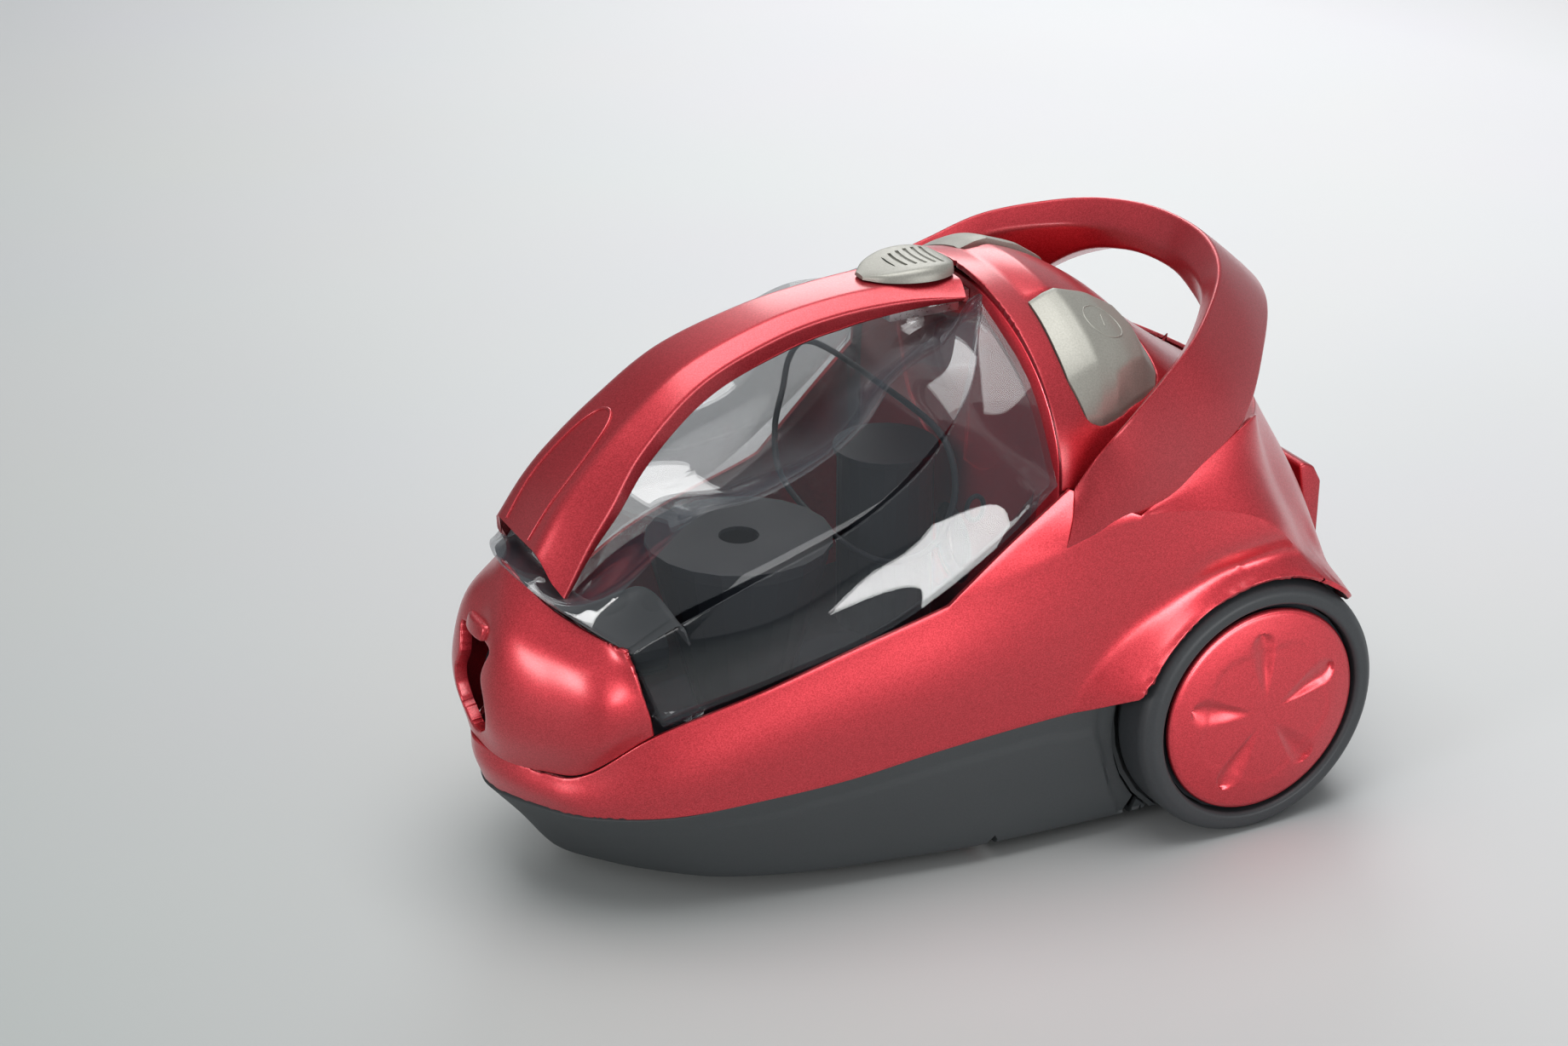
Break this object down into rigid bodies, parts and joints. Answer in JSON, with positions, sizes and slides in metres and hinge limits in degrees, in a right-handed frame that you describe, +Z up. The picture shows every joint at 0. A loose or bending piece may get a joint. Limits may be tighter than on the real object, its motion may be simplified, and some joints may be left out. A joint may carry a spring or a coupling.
{
  "type": "canister vacuum cleaner",
  "caption": "Low canister vacuum cleaner with a clear lift-off tank under a red strap, a carry hoop, foot pedals, big rear wheels and a swivelling front castor.",
  "frame": {"origin": "on the floor under the middle of the machine's overall box", "axes": "+Z up, -Y towards the nose and hose socket, +Y towards the carry hoop and exhaust door, +X towards the right-hand wheel and power pedal"},
  "size_m": [0.26, 0.4534, 0.285],
  "materials": {
    "satin_red": "satin metallic red",
    "charcoal_plastic": "fine-textured charcoal",
    "silver_grey": "warm silver-grey with a fine sparkle",
    "smoked_clear": "clear, lightly smoked plastic",
    "rubber": "satin black",
    "dark_plastic": "plain black",
    "steel": "bright",
    "filter": "white filter fleece"
  },
  "bodies": {
    "root": {"base_tray": "charcoal_plastic", "body_shell": "satin_red", "nose_cap": "satin_red", "pedal_deck": "satin_red", "carry_hoop": "satin_red", "latch_striker": "steel", "castor_housing": "charcoal_plastic", "bulkhead": "satin_red", "hose_socket": "dark_plastic", "intake_duct": "dark_plastic", "motor_filter": "filter", "motor_housing": "dark_plastic", "fan_shroud": "steel", "motor_mount_front": "rubber", "motor_can": "steel", "motor_end_cap": "steel", "motor_mount_rear": "rubber", "motor_cradle": "charcoal_plastic", "exhaust_filter": "filter", "reel_spindle": "steel", "pedal_frame": "charcoal_plastic", "power_switch": "dark_plastic", "power_pedal_spring": "steel", "rewind_pedal_spring": "steel", "wheel_liner_right": "charcoal_plastic", "axle_right": "steel", "axle_clip_right": "steel", "wheel_liner_left": "charcoal_plastic", "axle_left": "steel", "axle_clip_left": "steel"},
    "wheel_right": {"tyre_right": "rubber", "wheel_hub_right": "dark_plastic", "hub_cap_right": "satin_red"},
    "wheel_left": {"tyre_left": "rubber", "wheel_hub_left": "dark_plastic", "hub_cap_left": "satin_red"},
    "castor_swivel": {"castor_fork": "dark_plastic", "castor_pin": "steel", "castor_clip": "steel"},
    "castor_roller": {"castor_wheel": "rubber"},
    "tank": {"tank_shell": "smoked_clear", "tank_lid": "smoked_clear", "strap_handle": "satin_red", "tank_seal": "rubber", "separator_cone": "dark_plastic", "separator_plate": "dark_plastic", "mesh_filter": "dark_plastic", "mesh_filter_cap": "dark_plastic", "tank_inlet_tube": "dark_plastic", "seal_pull": "rubber"},
    "latch": {"latch_button": "silver_grey", "latch_hook": "steel"},
    "power_pedal": {"power_pedal": "silver_grey"},
    "rewind_pedal": {"rewind_pedal": "silver_grey", "brake_rod": "steel"},
    "reel": {"cord_reel": "dark_plastic"},
    "rotor": {"motor_shaft": "steel", "motor_rotor": "steel", "fan_impeller": "steel"},
    "exhaust_door": {"exhaust_door": "satin_red"}
  },
  "joints": [
    {"name": "wheel_right_spin", "type": "hinge", "parent": "root", "child": "wheel_right", "pos_m": [0.113, 0.14, 0.068], "axis": [1, 0, 0], "continuous": true},
    {"name": "wheel_left_spin", "type": "hinge", "parent": "root", "child": "wheel_left", "pos_m": [-0.113, 0.14, 0.068], "axis": [1, 0, 0], "continuous": true},
    {"name": "castor_swivel_turn", "type": "hinge", "parent": "root", "child": "castor_swivel", "pos_m": [0, -0.112, 0.03], "axis": [0, 0, 1], "continuous": true},
    {"name": "castor_roll", "type": "hinge", "parent": "castor_swivel", "child": "castor_roller", "pos_m": [0, -0.104, 0.014], "axis": [1, 0, 0], "continuous": true},
    {"name": "tank_lift", "type": "slide", "parent": "root", "child": "tank", "axis": [0, 0, 1], "range_m": [0, 0.3]},
    {"name": "latch_slide", "type": "slide", "parent": "tank", "child": "latch", "axis": [0, -1, 0], "range_m": [0, 0.005], "stiffness_N_per_m": 400, "springref_m": -0.003},
    {"name": "power_pedal_press", "type": "slide", "parent": "root", "child": "power_pedal", "axis": [0, 0, -1], "range_m": [0, 0.004], "stiffness_N_per_m": 900, "springref_m": -0.004},
    {"name": "rewind_pedal_press", "type": "slide", "parent": "root", "child": "rewind_pedal", "axis": [0, 0, -1], "range_m": [0, 0.004], "stiffness_N_per_m": 900, "springref_m": -0.004},
    {"name": "reel_spin", "type": "hinge", "parent": "root", "child": "reel", "pos_m": [0, 0.138, 0.015], "axis": [0, 0, 1], "continuous": true},
    {"name": "rotor_spin", "type": "hinge", "parent": "root", "child": "rotor", "pos_m": [0, 0.1, 0.128], "axis": [0, 1, 0], "continuous": true},
    {"name": "exhaust_door_hinge", "type": "hinge", "parent": "root", "child": "exhaust_door", "pos_m": [0, 0.226, 0.103], "axis": [-1, 0, 0], "range_deg": [0, 75]}
  ]
}
